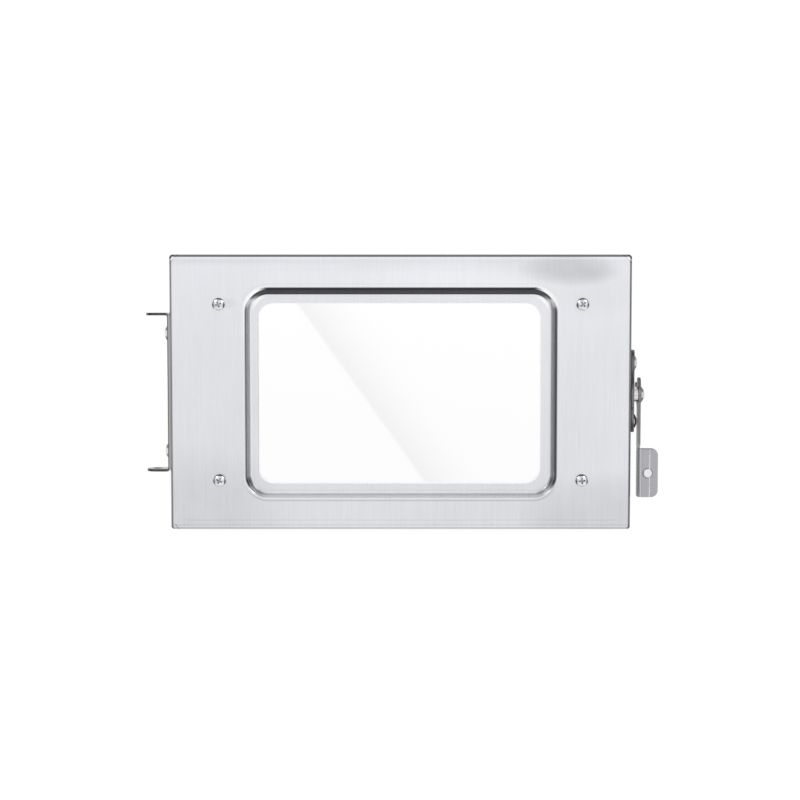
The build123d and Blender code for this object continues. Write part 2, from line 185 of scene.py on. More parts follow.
class Shader(Nodes):
    """Writes the nodes of one material or world."""

    def __init__(self, tree):
        super().__init__(tree)
        self.coordinates = None

    def place(self):
        """Object coordinates, which are metres in the frame."""
        if self.coordinates is None:
            self.coordinates = self.node("ShaderNodeTexCoord", {}, {}, "Object")
        return self.coordinates

    def axes(self):
        return self.parts(self.place())

    def noise(self, scale, detail=2.0, roughness=0.5, seed=0.0):
        """Noise with its own number of cells to the metre along each axis."""
        settings = {"vector_type": "POINT"}
        moved = {"Vector": self.place(), "Location": (seed, seed, seed), "Scale": scale}
        spread = self.node("ShaderNodeMapping", settings, moved)
        values = {"Vector": spread, "Scale": 1.0, "Detail": detail, "Roughness": roughness}
        return self.node("ShaderNodeTexNoise", {"noise_dimensions": "3D"}, values, "Fac")

    def blend(self, factor, first, second):
        values = {"Factor": factor, 6: first, 7: second}
        return self.node("ShaderNodeMix", {"data_type": "RGBA"}, values, 2)

    def bump(self, height, strength, distance):
        values = {"Height": height, "Strength": strength, "Distance": distance}
        return self.node("ShaderNodeBump", {}, values)

    def principled(self, values):
        return self.node("ShaderNodeBsdfPrincipled", {}, values)

    def facing(self):
        """The surface's own direction, along the frame's three axes."""
        return self.parts(self.node("ShaderNodeTexCoord", {}, {}, "Normal"))

    def surface(self, closure):
        kind = "ShaderNodeOutputWorld" if self.is_world() else "ShaderNodeOutputMaterial"
        self.node_with_no_output(kind, {"Surface": closure})

    def is_world(self):
        return any(world.node_tree == self.tree for world in bpy.data.worlds)

    def node_with_no_output(self, kind, values):
        made = self.tree.nodes.new(kind)
        for name, value in values.items():
            self.tree.links.new(value.output, made.inputs[name])


class Shape(Nodes):
    """Writes a Geometry Nodes tree whose sizes are named inputs."""

    def __init__(self, name):
        super().__init__(bpy.data.node_groups.new(name, "GeometryNodeTree"))
        kind = "NodeSocketGeometry"
        self.tree.interface.new_socket("Geometry", in_out="OUTPUT", socket_type=kind)
        self.entry = self.tree.nodes.new("NodeGroupInput")
        self.inputs = {}

    def size(self, name, default):
        kind = "NodeSocketFloat"
        made = self.tree.interface.new_socket(name, in_out="INPUT", socket_type=kind)
        made.default_value = default
        self.inputs[name] = made.identifier
        return Socket(self, self.entry.outputs[name])

    def vector(self, x, y, z):
        return self.node("ShaderNodeCombineXYZ", {}, {0: x, 1: y, 2: z})

    def position(self):
        return self.parts(self.node("GeometryNodeInputPosition", {}, {}))

    def moved(self, mesh, x, y, z):
        values = {"Geometry": mesh, "Position": self.vector(x, y, z)}
        return self.node("GeometryNodeSetPosition", {}, values)

    def turned(self, sides, rows, profile):
        """A closed solid turned about the depth axis.

        The profile gives each row's radius and depth.
        """
        counts = {"Size X": 1.0, "Size Y": 1.0, "Vertices X": sides + 1, "Vertices Y": rows + 1}
        sheet = self.node("GeometryNodeMeshGrid", {}, counts)
        across, along, _ = self.position()
        turn = across * -math.tau
        radius, depth = profile((along + 0.5) * rows, turn)
        x, z = radius * turn.math("COSINE"), radius * turn.math("SINE")
        values = {"Geometry": self.moved(sheet, x, depth, z), "Distance": 0.001 * MM}
        return self.node("GeometryNodeMergeByDistance", {}, values)

    def boolean(self, operation, first, others):
        values = {"Mesh 2": others} if first is None else {"Mesh 1": first, "Mesh 2": others}
        settings = {"operation": operation, "solver": "EXACT"}
        return self.node("GeometryNodeMeshBoolean", settings, values)

    def finished(self, mesh, material):
        """Smooth but for its corners, moved to its place, and with its material."""
        values = {"Geometry": mesh, "Shade Smooth": True}
        smooth = self.node("GeometryNodeSetShadeSmooth", {"domain": "FACE"}, values)
        angle = self.node("GeometryNodeInputMeshEdgeAngle", {}, {})
        corner = angle.math("GREATER_THAN", SHARPEST_SMOOTH)
        values = {"Geometry": smooth, "Selection": corner, "Shade Smooth": False}
        sharp = self.node("GeometryNodeSetShadeSmooth", {"domain": "EDGE"}, values)
        offset = self.vector(*[self.size("Place " + axis, 0.0) for axis in "XYZ"])
        placed = self.node("GeometryNodeSetPosition", {}, {"Geometry": sharp, "Offset": offset})
        whole = self.node("GeometryNodeRealizeInstances", {}, {"Geometry": placed})
        values = {"Geometry": whole, "Material": material}
        dressed = self.node("GeometryNodeSetMaterial", {}, values)
        way_out = self.tree.nodes.new("NodeGroupOutput")
        self.tree.links.new(dressed.output, way_out.inputs["Geometry"])

    def grown(self, name, place, sizes):
        """A plain mesh object made by the tree with these sizes."""
        piece = bpy.data.objects.new(name, bpy.data.meshes.new(name))
        bpy.context.scene.collection.objects.link(piece)
        modifier = piece.modifiers.new("shape", "NODES")
        modifier.node_group = self.tree
        places = {"Place X": place.x, "Place Y": place.y, "Place Z": place.z}
        for key, value in {**sizes, **places}.items():
            modifier[self.inputs[key]] = value
        graph = bpy.context.evaluated_depsgraph_get()
        mesh = bpy.data.meshes.new_from_object(piece.evaluated_get(graph), depsgraph=graph)
        piece.modifiers.clear()
        piece.data = mesh
        return piece


def machine_screw(material):
    """A pan-head screw with a cross recess and a rolled thread, along the depth axis."""
    shape = Shape("machine screw")
    head_radius = shape.size("Head radius", 3.7 * MM)
    head_height = shape.size("Head height", 2.5 * MM)
    rim = shape.size("Rim height", 0.5 * MM)
    shank = shape.size("Shank radius", 1.95 * MM)
    length = shape.size("Length", 7.5 * MM)
    pitch = shape.size("Pitch", 0.7 * MM)
    thread = shape.size("Thread depth", 0.32 * MM)
    span = shape.size("Cross span", 4.3 * MM)
    slot = shape.size("Cross slot", 1.05 * MM)
    sunk = shape.size("Cross depth", 1.7 * MM)
    turn = shape.size("Cross turn", 0.0)
    head_sides, dome_rows = 40, 12
    shank_sides, thread_rows = 20, 92
    fullness = 0.85
    overlap = 0.5 * MM
    above_head = 0.6 * MM
    cross_taper = 0.42

    def head_profile(row, _):
        lean = (row * (math.pi / 2 / dome_rows)).math("MINIMUM", math.pi / 2)
        dome = lean.math("COSINE").math("MAXIMUM", 0.0).math("POWER", fullness)
        side = 1 - (row - dome_rows).clamped()
        closed = 1 - (row - dome_rows - 1).clamped()
        radius = lean.math("SINE").math("MAXIMUM", 0.0).math("POWER", fullness) * head_radius
        return radius * closed, (rim + dome * (head_height - rim)) * side * -1

    def shank_profile(row, angle):
        along = ((row - 1) / (thread_rows - 2)).clamped() * (length + overlap) - overlap
        wave = (along / pitch - angle / math.tau) * math.tau
        ends = along.between(0.6 * MM, 1.4 * MM)
        cut = (wave.math("COSINE") * 0.5 + 0.5) * thread * ends
        tip = (along - length + 0.4 * MM).math("MAXIMUM", 0.0)
        open_ring = row.between(0.4, 0.6) * (1 - (row - thread_rows).between(-0.6, -0.4))
        return (shank - cut - tip) * open_ring, along

    def cross_bar(quarter):
        bar = shape.node("GeometryNodeMeshCube", {}, {"Size": (1.0, 1.0, 1.0)})
        across, deep, up = shape.position()
        low = deep + 0.5
        taper = 1 - low * cross_taper
        x = across * span * taper
        z = up * slot * taper
        angle = turn + quarter
        cosine, sine = angle.math("COSINE"), angle.math("SINE")
        y = low * (sunk + above_head) - head_height - above_head
        return shape.moved(bar, x * cosine - z * sine, y, x * sine + z * cosine)

    head = shape.turned(head_sides, dome_rows + 2, head_profile)
    head = shape.boolean("DIFFERENCE", head, [cross_bar(0.0), cross_bar(math.pi / 2)])
    body = shape.turned(shank_sides, thread_rows, shank_profile)
    shape.finished(shape.boolean("UNION", None, [head, body]), material)
    return shape


def grey(level, tint=PLAIN):
    """A near-neutral colour."""
    return tuple(level * share for share in tint) + (1.0,)


def new_material(name):
    material = bpy.data.materials.new(name)
    material.use_nodes = True
    return material, Shader(material.node_tree)


def give(nodes, material):
    """Puts a material on CAD nodes."""
    for name in nodes:
        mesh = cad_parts[name].data
        mesh.materials.clear()
        mesh.materials.append(material)


def steel(
    name, level, tint, roughness, grain, contrast=0.06, cloud=0.04, bump=0.12, marks=()
):
    """Rolled or brushed sheet. Grain is the number of streaks to the metre along each axis.

    Each mark is a function that gives how much of a place it covers, and its colour.
    """
    material, s = new_material(name)
    streaks = s.noise(grain, detail=3.0, roughness=0.6)
    finer = s.noise(tuple(2.7 * g for g in grain), detail=2.0, seed=3.1)
    clouds = s.noise((14.0, 14.0, 14.0), detail=2.0, seed=7.3)
    mark = streaks * 0.6 + finer * 0.4
    shade = (mark - 0.5) * (2 * contrast) + (clouds - 0.5) * (2 * cloud) + 0.5
    colour = s.blend(shade.clamped(), grey(level * 0.5, tint), grey(level * 1.5, tint))
    for marked in marks:
        cover, mark_colour = marked(s)
        colour = s.blend(cover, colour, mark_colour)
    values = {
        "Base Color": colour,
        "Metallic": 1.0,
        "Roughness": (mark - 0.5) * 0.22 + (clouds - 0.5) * 0.1 + roughness,
        "Normal": s.bump(mark, bump, 0.05 * MM),
    }
    s.surface(s.principled(values))
    return material


def panel_steel(settings):
    """The pan's finish: upright brushing, clouds and press lines, with painted shade in the
    recess, along the folds and in patches, and painted highlights at the lip, folds and corners.
    """
    material, s = new_material("brushed stainless sheet")
    across, depth, up = s.axes()
    into = depth - PANEL_LOW.y
    streaks = s.noise((1300.0, 1300.0, 26.0), detail=3.0, roughness=0.65)
    finer = s.noise((3800.0, 3800.0, 60.0), detail=2.0, seed=3.1)
    clouds = s.noise((22.0, 22.0, 13.0), detail=3.0, seed=7.3)
    mark = streaks * 0.55 + finer * 0.45
    tone = (mark - 0.5) * 0.18 + (clouds - 0.5) * 0.10 + 0.5
    outside = recess_distance(across, up)
    tone = tone - panel_patches_and_shade(s, across, up) * 0.09 - press_line(across, up) * 0.07
    tone = tone - painted_face_bands(outside, across, up) - corner_scratch_and_glint(across, up)
    base = settings.panel_colour
    colour = s.blend(tone.clamped(), grey(0.5, base), grey(1.5, base))
    colour = s.blend(lip_highlight(into, across, up), colour, grey(0.98))
    colour = s.blend(recess_shade(into, across, up), colour, grey(0.012, SHADE_TINT))
    colour = s.blend(wall_scuff(s, into, across, up), colour, grey(0.8, COOL))
    colour = s.blend(fold_shade(into, across, up), colour, grey(0.10, COOL))
    colour = s.blend(corner_glints(outside, across, up), colour, grey(1.0))
    values = {
        "Base Color": colour,
        "Metallic": 1.0,
        "Roughness": (mark - 0.5) * 0.2 + (clouds - 0.5) * 0.08 + settings.panel_roughness,
        "Normal": s.bump(mark - press_line(across, up) * 0.8, 0.10, 0.05 * MM),
    }
    s.surface(s.principled(values))
    return material


def press_line(across, up):
    """The faint line that the folding press left above the bottom fold."""
    height = PANEL_LOW.z + 5.6 * MM
    middle, half_length = FACE.x + 1 * MM, 124 * MM
    return up.band(height, 0.15 * MM, 0.4 * MM) * across.band(middle, half_length, 4 * MM)


def panel_patches_and_shade(s, across, up):
    """Cloudy darker patches, darkest at the upper right, painted shade over the lower corners, a
    painted lighter patch along the top, a smudge beside the upper left screw and a small speck.
    """
    ragged = s.noise((60.0, 60.0, 90.0), detail=4.0, roughness=0.6, seed=11.0)
    right = spot(across, up, (98 * MM, 71 * MM), (28 * MM, 9 * MM)) * 2.1
    right = right + spot(across, up, (84 * MM, 72 * MM), (46 * MM, 9 * MM)) * 0.5
    under = spot(across, up, (112 * MM, 60 * MM), (26 * MM, 16 * MM)) * 0.45
    # Painted shade over the lower corners
    low = spot(across, up, (-122 * MM, -70 * MM), (56 * MM, 36 * MM)) * 1.1
    low_right = spot(across, up, (124 * MM, -72 * MM), (52 * MM, 24 * MM)) * 1.5
    beside_screw = spot(across, up, (-100 * MM, 52 * MM), (5 * MM, 3 * MM)) * 0.8
    # A painted lighter patch along the top
    bright = spot(across, up, (30 * MM, 65 * MM), (60 * MM, 12 * MM)) * 0.5
    speck = spot(across, up, (41.5 * MM, -53.3 * MM), (1.8 * MM, 0.4 * MM)) * 3.0
    patches = speck + right + under + low + low_right + beside_screw
    return patches * (ragged * 0.7 + 0.65) - bright


def spot(across, up, middle, size):
    """A soft oval patch about a place on the face."""
    x = (across - (FACE.x + middle[0])) / size[0]
    z = (up - (FACE.z + middle[1])) / size[1]
    return 1 - (x * x + z * z).between(0.0, 1.4)


def from_middle(across):
    """How far to either side of the door's middle a place lies."""
    return (across - FACE.x).math("ABSOLUTE")


def recess_distance(across, up):
    """How far a place lies outside the recess's wall line. It is negative within."""
    x = from_middle(across) - (RECESS_HALF_WIDTH - RECESS_CORNER)
    z = (up - FACE.z + RECESS_DROP).math("ABSOLUTE") - (RECESS_HALF_HEIGHT - RECESS_CORNER)
    over_x, over_z = x.math("MAXIMUM", 0.0), z.math("MAXIMUM", 0.0)
    inner = x.math("MAXIMUM", z).math("MINIMUM", 0.0)
    return (over_x * over_x + over_z * over_z).math("SQRT") + inner - RECESS_CORNER


def over_recess_top(up):
    """1 from the recess's top wall upwards, 0 below it."""
    return up.between(FACE.z + 52 * MM, FACE.z + 57 * MM)


def upper_corner(across, up):
    """How far inwards and down a place lies from the nearer upper corner of the pan."""
    return PANEL_HIGH.x - FACE.x - from_middle(across), PANEL_HIGH.z - up


def painted_face_bands(outside, across, up):
    """Faint bands of painted shade beside the recess, below the top fold and along the bottom
    bend, and painted highlights along the top fold and above the recess.
    """
    left = 1 - across.between(FACE.x - 100 * MM, FACE.x - 20 * MM)
    below_fold = up.between(PANEL_HIGH.z - 7.5 * MM, PANEL_HIGH.z - 3.2 * MM)
    under_fold_shade = below_fold * (left * 0.04 + 0.045)
    crest_highlight = up.band(FACE.z + 66 * MM, 2 * MM, 4 * MM) * across.band(FACE.x, 60 * MM, 40 * MM)
    # A painted shade line along the bottom bend
    bend = up.band(PANEL_LOW.z + 2.7 * MM, 0.2 * MM, 0.5 * MM)
    fold_highlight = up.band(PANEL_HIGH.z - 2.3 * MM, 0.35 * MM, 0.4 * MM)
    over_recess = up.between(FACE.z + 50 * MM, FACE.z + 58 * MM)
    # A painted shade line just outside the recess's top mouth
    drawn = outside.band(4.0 * MM, 0.3 * MM, 0.6 * MM) * over_recess
    return bend * 0.09 + under_fold_shade - crest_highlight * 0.03 - fold_highlight * 0.09 + drawn * 0.04


def corner_glints(outside, across, up):
    """Bright arcs at the recess's upper corners and slanting flashes at the pan's."""
    upper = up.between(FACE.z + 46 * MM, FACE.z + 54 * MM)
    ends = from_middle(across).between(77 * MM, 84 * MM)
    mouth_arc = outside.band(1.8 * MM, 0.6 * MM, 0.6 * MM)
    foot_arc = outside.band(-2.8 * MM, 0.6 * MM, 0.7 * MM)
    x, z = upper_corner(across, up)
    slant = (x + z).band(4.1 * MM, 0.2 * MM, 0.35 * MM)
    flash = slant * (z - x).band(0.9 * MM, 1.6 * MM, 0.8 * MM)
    return ((mouth_arc + foot_arc) * upper * ends + flash * 0.95).clamped()


def corner_scratch_and_glint(across, up):
    """A slanting scratch, and a painted pale highlight beside the left edge, at the pan's lower
    left corner.
    """
    x, z = across - PANEL_LOW.x, up - PANEL_LOW.z
    slant_x, slant_z = 0.844, 0.537
    scratch = (x * slant_x + z * slant_z).band(4.0 * MM, 0.2 * MM, 0.4 * MM)
    scratch = scratch * z.band(1.8 * MM, 1.3 * MM, 0.6 * MM)
    # A painted highlight, pale and upright, beside the left edge
    edge_glint = x.band(2.9 * MM, 0.2 * MM, 0.4 * MM) * z.band(6 * MM, 3 * MM, 2 * MM)
    return scratch * 0.3 - edge_glint * 0.08


def near_recess(across, up):
    """1 over the recess and its rounded mouth, 0 over the rest of the face."""
    return across.band(FACE.x, 97 * MM, 1 * MM) * up.band(FACE.z, 66 * MM, 1 * MM)


def lip_highlight(into, across, up):
    """A painted highlight along the start of the recess's mouth and just outside it, brightest
    along its top.
    """
    lip = into.between(0.004 * MM, 0.04 * MM) * (1 - into.between(0.18 * MM, 0.42 * MM))
    rise = up.between(FACE.z + 20 * MM, FACE.z + 56 * MM)
    crest_highlight = recess_distance(across, up).band(3.0 * MM, 0.2 * MM, 0.3 * MM)
    crest_highlight = crest_highlight * over_recess_top(up)
    return (lip * near_recess(across, up) * rise * 0.8 + crest_highlight * 0.3).clamped()


def recess_shade(into, across, up):
    """How much painted shade darkens the drawn wall of the recess: most along its top, least
    below, with painted shade lines along the sill and in the lower corners.
    """
    outside = recess_distance(across, up)
    top = over_recess_top(up)
    above_foot = up.between(FACE.z - 63 * MM, FACE.z - 50 * MM)
    right = across.between(FACE.x, FACE.x + 80 * MM)
    ease = into.between(0.2 * MM, 5 * MM)
    soft_end = 1 - into.between(RECESS_DEPTH - 0.45 * MM, RECESS_DEPTH - 0.03 * MM)
    firm_end = 1 - into.between(RECESS_DEPTH - 0.2 * MM, RECESS_DEPTH - 0.01 * MM)
    last_end = 1 - into.between(RECESS_DEPTH - 0.1 * MM, RECESS_DEPTH - 0.005 * MM)
    left_wall = into.between(0.06 * MM, 0.7 * MM) * soft_end * (0.66 - ease * 0.66)
    right_wall = into.between(0.01 * MM, 0.2 * MM) * firm_end * (0.82 - ease * 0.62)
    # A lighter line, a painted highlight, within the top wall's painted shade
    top_wall_glint = outside.band(-0.6 * MM, 0.1 * MM, 0.3 * MM) * 0.14
    top_wall = into.between(0.01 * MM, 0.08 * MM) * last_end * (0.96 - top_wall_glint)
    side_walls = right * right_wall + (1 - right) * left_wall
    walls = above_foot * (1 - top) * side_walls + top * top_wall
    # Painted shade lines along the sill below the recess
    mouth_line = outside.band(2.6 * MM, 0.3 * MM, 0.5 * MM) * 0.26
    foot_line = outside.band(-2.2 * MM, 0.2 * MM, 0.5 * MM) * 0.2
    sill = (mouth_line + foot_line) * (1 - above_foot)
    # Painted shade on the wall in the recess's lower corners
    at_corner = from_middle(across).between(78 * MM, 84 * MM)
    at_corner = at_corner * (1 - up.between(FACE.z - 52 * MM, FACE.z - 48 * MM))
    deep_corner_shade = into.between(2.5 * MM, 4.5 * MM) * last_end * 0.3
    corner_wall = into.between(0.03 * MM, 0.4 * MM) * soft_end * (0.36 - right * 0.2)
    cover = walls * (1 - drawn_gap(across, up) * 0.85) + sill + at_corner * (corner_wall + deep_corner_shade)
    return (cover * near_recess(across, up)).clamped()


def wall_scuff(s, into, across, up):
    """Short bright scratches low on the recess's right wall."""
    scratches = s.noise((2500.0, 900.0, 500.0), detail=2.0, seed=9.0).between(0.52, 0.62)
    patch = spot(across, up, (90.2 * MM, -48 * MM), (2.2 * MM, 4.5 * MM)).between(0.2, 0.6)
    return scratches * patch * into.between(0.3 * MM, 1 * MM) * 0.6


def drawn_gap(across, up):
    """1 where each upper corner of the recess turns, whose wall is brighter there."""
    x = from_middle(across) - (RECESS_HALF_WIDTH - RECESS_CORNER)
    z = up - FACE.z + RECESS_DROP - (RECESS_HALF_HEIGHT - RECESS_CORNER)
    lean = 0.45
    return (z - x * lean).band(0.0, 1.5 * MM, 2.4 * MM) * x.between(6 * MM, 8 * MM)


def fold_shade(into, across, up):
    """Painted shade along each outer fold, strongest along the top, over the side edges, at the
    upper tips and in a dent just inside them.
    """
    fold = into.between(0.004 * MM, 0.16 * MM) * (1 - into.between(1.5 * MM, 2.2 * MM))
    top = up.between(PANEL_HIGH.z - 2.2 * MM, PANEL_HIGH.z - 1.9 * MM) * 0.85
    foot = (1 - up.between(PANEL_LOW.z + 1.9 * MM, PANEL_LOW.z + 2.2 * MM)) * 0.3
    right = across.between(PANEL_HIGH.x - 2.2 * MM, PANEL_HIGH.x - 1.9 * MM) * 0.42
    left = (1 - across.between(PANEL_LOW.x + 1.9 * MM, PANEL_LOW.x + 2.2 * MM)) * 0.35
    side_edge_shade = across.between(PANEL_HIGH.x - 2.1 * MM, PANEL_HIGH.x - 0.9 * MM) * 0.32
    side_edge_shade = side_edge_shade + (1 - across.between(PANEL_LOW.x + 0.9 * MM, PANEL_LOW.x + 2.1 * MM)) * 0.2
    x, z = upper_corner(across, up)
    # Painted shade at the pan's upper tips
    tip = (1 - (x + z).between(3.2 * MM, 3.8 * MM)) * 0.3
    dent_shade = (x + z).band(5.4 * MM, 0.3 * MM, 0.5 * MM) * 0.12
    return (fold * (top + foot + right + left) + side_edge_shade + (tip + dent_shade)).clamped()


def ear_edge_shade(s):
    """Painted shade on the sheared edges of the hinge's ears, broken in patches."""
    across, _, _ = s.axes()
    _, _, up = s.facing()
    beyond_web = 1 - across.between(WEB_OUTSIDE - 0.9 * MM, WEB_OUTSIDE - 0.4 * MM)
    edge = 1 - up.math("ABSOLUTE").between(0.4, 0.85)
    patchiness = s.noise((300.0, 300.0, 300.0), detail=2.0, seed=2.2)
    return beyond_web * edge * (0.95 - patchiness.between(0.45, 0.62) * 0.45), grey(0.085)


def pin_bore_shade(s):
    """Painted shade in the ears' pin holes and round their edges."""
    across, depth, _ = s.axes()
    x, y = across - (WEB_OUTSIDE - AXIS_OUT), depth - (PANEL_LOW.y + AXIS_DEPTH)
    reach = (x * x + y * y).math("SQRT")
    beyond = reach.between(PIN_HOLE_RADIUS + 0.2 * MM, PIN_HOLE_RADIUS + 0.5 * MM)
    return (1 - beyond) * 0.97, grey(0.02)


def dome_rim_shade(s):
    """Painted shade on the upper and lower rims of a side rivet's dome."""
    across, _, _ = s.axes()
    _, _, up = s.facing()
    outside = from_middle(across).between(FLANGE_OUT + 0.2 * MM, FLANGE_OUT + 1.6 * MM)
    return outside * up.math("ABSOLUTE").between(0.16, 0.36) * 0.85, grey(0.03)


def web_edge_shade(s):
    """Painted shade on the outer part of the web's front edge."""
    across, _, _ = s.axes()
    _, back, _ = s.facing()
    line = 1 - across.between(WEB_OUTSIDE + 0.45 * MM, WEB_OUTSIDE + 0.8 * MM)
    return line * (back * -1).between(0.2, 0.6) * 0.75, grey(0.07)


def head_place(s):
    """How far across, out and up a place on a screw lies from the axis at the pan's face."""
    across, depth, up = s.axes()
    x = from_middle(across) - SCREW_X
    z = (up - FACE.z).math("ABSOLUTE") - SCREW_Z
    return x, PANEL_LOW.y - depth, z


def head_rim_shade(s):
    """Painted shade on the upper rim of a screw's head."""
    _, rise, _ = head_place(s)
    _, _, up = s.facing()
    return rise.between(0.0, 0.1 * MM) * up.between(0.41, 0.58) * 0.88, grey(0.02)


def head_sides(s):
    """Painted shade on the lower left and right of a screw's head."""
    _, rise, _ = head_place(s)
    side, _, up = s.facing()
    patch = side.math("ABSOLUTE").between(0.42, 0.66) * up.band(-0.25, 0.15, 0.25)
    return rise.between(0.0, 0.1 * MM) * patch * 0.8, grey(0.04)


def cross_shade(s):
    """Painted shade in the cross recess."""
    x, rise, z = head_place(s)
    within = 1 - (x * x + z * z).math("SQRT").between(2.0 * MM, 2.4 * MM)
    sunk = (1 - rise.between(1.25 * MM, 2.0 * MM)) * rise.between(0.3 * MM, 0.5 * MM)
    return within * sunk * 0.6, grey(0.12)


def plate_stains(s):
    """Brown-black heat stains in upright streaks."""
    stains = s.noise((500.0, 500.0, 150.0), detail=3.0, roughness=0.6, seed=6.0)
    return stains.between(0.45, 0.62) * 0.8, grey(0.03, WARM)


def plate_gap_shadow(s):
    """Painted shadow where the latch plate lies against the flange."""
    across, _, _ = s.axes()
    beyond = across.between(PANEL_HIGH.x + 0.35 * MM, PANEL_HIGH.x + 0.8 * MM)
    return (1 - beyond) * 0.8, grey(0.03)


def arm_shade(s):
    """Painted shade: the lever is darker above its tab, most of all at the hook and the finger."""
    _, _, up = s.axes()
    arm = up.between(TAB_TOP - 1 * MM, TAB_TOP + 4 * MM)
    hook = up.between(FACE.z - 1 * MM, FACE.z + 6 * MM)
    return arm * 0.58 + hook * 0.3, grey(0.07, WARM)


def below_tab_top(up):
    """1 on the tab, 0 on the arm above it."""
    return 1 - up.between(TAB_TOP - 0.5 * MM, TAB_TOP)


def tab_crease_highlight(s):
    """A painted highlight, bright and broken, on an upright line where the tab was pressed."""
    across, _, up = s.axes()
    broken = s.noise((200.0, 200.0, 260.0), detail=2.0, seed=4.0).between(0.35, 0.6) * 0.5 + 0.3
    line = across.band(LEVER_INSIDE + 6.75 * MM, 0.1 * MM, 0.35 * MM)
    return line * below_tab_top(up) * broken, grey(0.8, COOL)


def tab_edge_shade(s):
    """Painted shade on the tab's cut top edge and on its side towards the door."""
    across, _, up = s.axes()
    side, _, _ = s.facing()
    beside_arm = across.between(LEVER_INSIDE + 1.4 * MM, LEVER_INSIDE + 2.4 * MM)
    top = up.between(TAB_TOP - 0.9 * MM, TAB_TOP - 0.4 * MM) * beside_arm
    inner = below_tab_top(up) * (side * -1).between(0.95, 0.99)
    return (top * 0.45 + inner * 0.6).clamped(), grey(0.08)


def tab_bend_highlight(s):
    """A painted highlight along the middle of the tab's bend."""
    _, _, up = s.axes()
    side, _, _ = s.facing()
    return (side * -1).band(0.66, 0.22, 0.08) * below_tab_top(up) * 0.75, grey(0.95)


def tab_rivet_ring(s):
    """The shadowed seat round the tab's rivet."""
    across, _, up = s.axes()
    middle = (TAB_RIVET_LOW + TAB_RIVET_HIGH) / 2
    x, z = across - middle.x, up - middle.z
    reach = (x * x + z * z).math("SQRT")
    ring = reach.band(TAB_RIVET_RADIUS + 0.1 * MM, 0.2 * MM, 0.3 * MM)
    return ring * 0.6, grey(0.06)


def clear_glass(settings):
    """Clear glass: what is behind it shows, with a little of the room mirrored over it."""
    material, s = new_material("clear glass")
    film = s.noise((40.0, 40.0, 22.0), detail=3.0, seed=1.7)
    mirror = s.principled({
        "Base Color": grey(1.0),
        "Metallic": 1.0,
        "Roughness": 0.02,
    })
    through = s.node("ShaderNodeBsdfTransparent", {}, {"Color": grey(1.0)})
    share = (film - 0.5) * 0.01 + settings.glass_mirror
    s.surface(s.node("ShaderNodeMixShader", {}, {0: share, 1: through, 2: mirror}))
    return material


def woven_tape():
    """Glass-fibre tape, woven in fine ribs."""
    material, s = new_material("woven gasket tape")
    ribs = s.noise((900.0, 900.0, 900.0), detail=2.0)
    slubs = s.noise((120.0, 120.0, 120.0), detail=2.0, seed=5.0)
    colour = s.blend((ribs * 0.6 + slubs * 0.4).clamped(), grey(0.45, WARM), grey(0.86, WARM))
    values = {
        "Base Color": colour,
        "Roughness": 0.9 + (slubs - 0.5) * 0.1,
        "Normal": s.bump(ribs, 0.5, 0.2 * MM),
    }
    s.surface(s.principled(values))
    return material


class DoorFinish(PropertyGroup):
    panel_colour: FloatVectorProperty(
        name="Panel colour", description="Colour of the brushed pan",
        default=(0.787, 0.792, 0.827), min=0.0, max=1.0, subtype="COLOR", size=3,
    )
    panel_roughness: FloatProperty(
        name="Panel roughness", description="How far the brushing spreads a reflection",
        default=0.30, min=0.05, max=1.0,
    )
    glass_mirror: FloatProperty(
        name="Glass mirror", description="Share of the light that the glass reflects",
        default=0.10, min=0.0, max=1.0, subtype="FACTOR",
    )


class StudioSettings(PropertyGroup):
    elevation: FloatProperty(
        name="Elevation", description="Angle of the camera above the door's middle",
        default=math.radians(3.4), subtype="ANGLE",
    )
    distance: FloatProperty(
        name="Distance", description="From the camera to the door's face",
        default=0.988, min=0.2, subtype="DISTANCE", unit="LENGTH",
    )
    key_power: FloatProperty(
        name="Key light", description="Power of each of the two front lamps", default=3.0, min=0.0,
    )
    world_front: FloatProperty(
        name="Front light", description="Level of the wide front light", default=1.0, min=0.0,
    )
    world_side: FloatProperty(
        name="Side light", description="Level to the left, to the right, above and below",
        default=0.2, min=0.0,
    )


class STOVE_OT_panel(Operator):
    """Finish the folded pan"""

    bl_idname = "stove.panel"
    bl_label = "Door panel"

    def execute(self, context):
        give(["door_panel"], panel_steel(context.scene.door_finish))
        return {"FINISHED"}


class STOVE_OT_glazing(Operator):
    """Finish the glass, its tape and the frame that holds it"""

    bl_idname = "stove.glazing"
    bl_label = "Glazing"

    def execute(self, context):
        give(["glass_pane"], clear_glass(context.scene.door_finish))
        give(["glass_gasket"], woven_tape())
        retainer = steel(
            "rolled retainer sheet", 0.64, PLAIN, 0.32, (60.0, 300.0, 900.0),
            contrast=0.12, cloud=0.07,
        )
        give(["glass_retainer"], retainer)
        return {"FINISHED"}


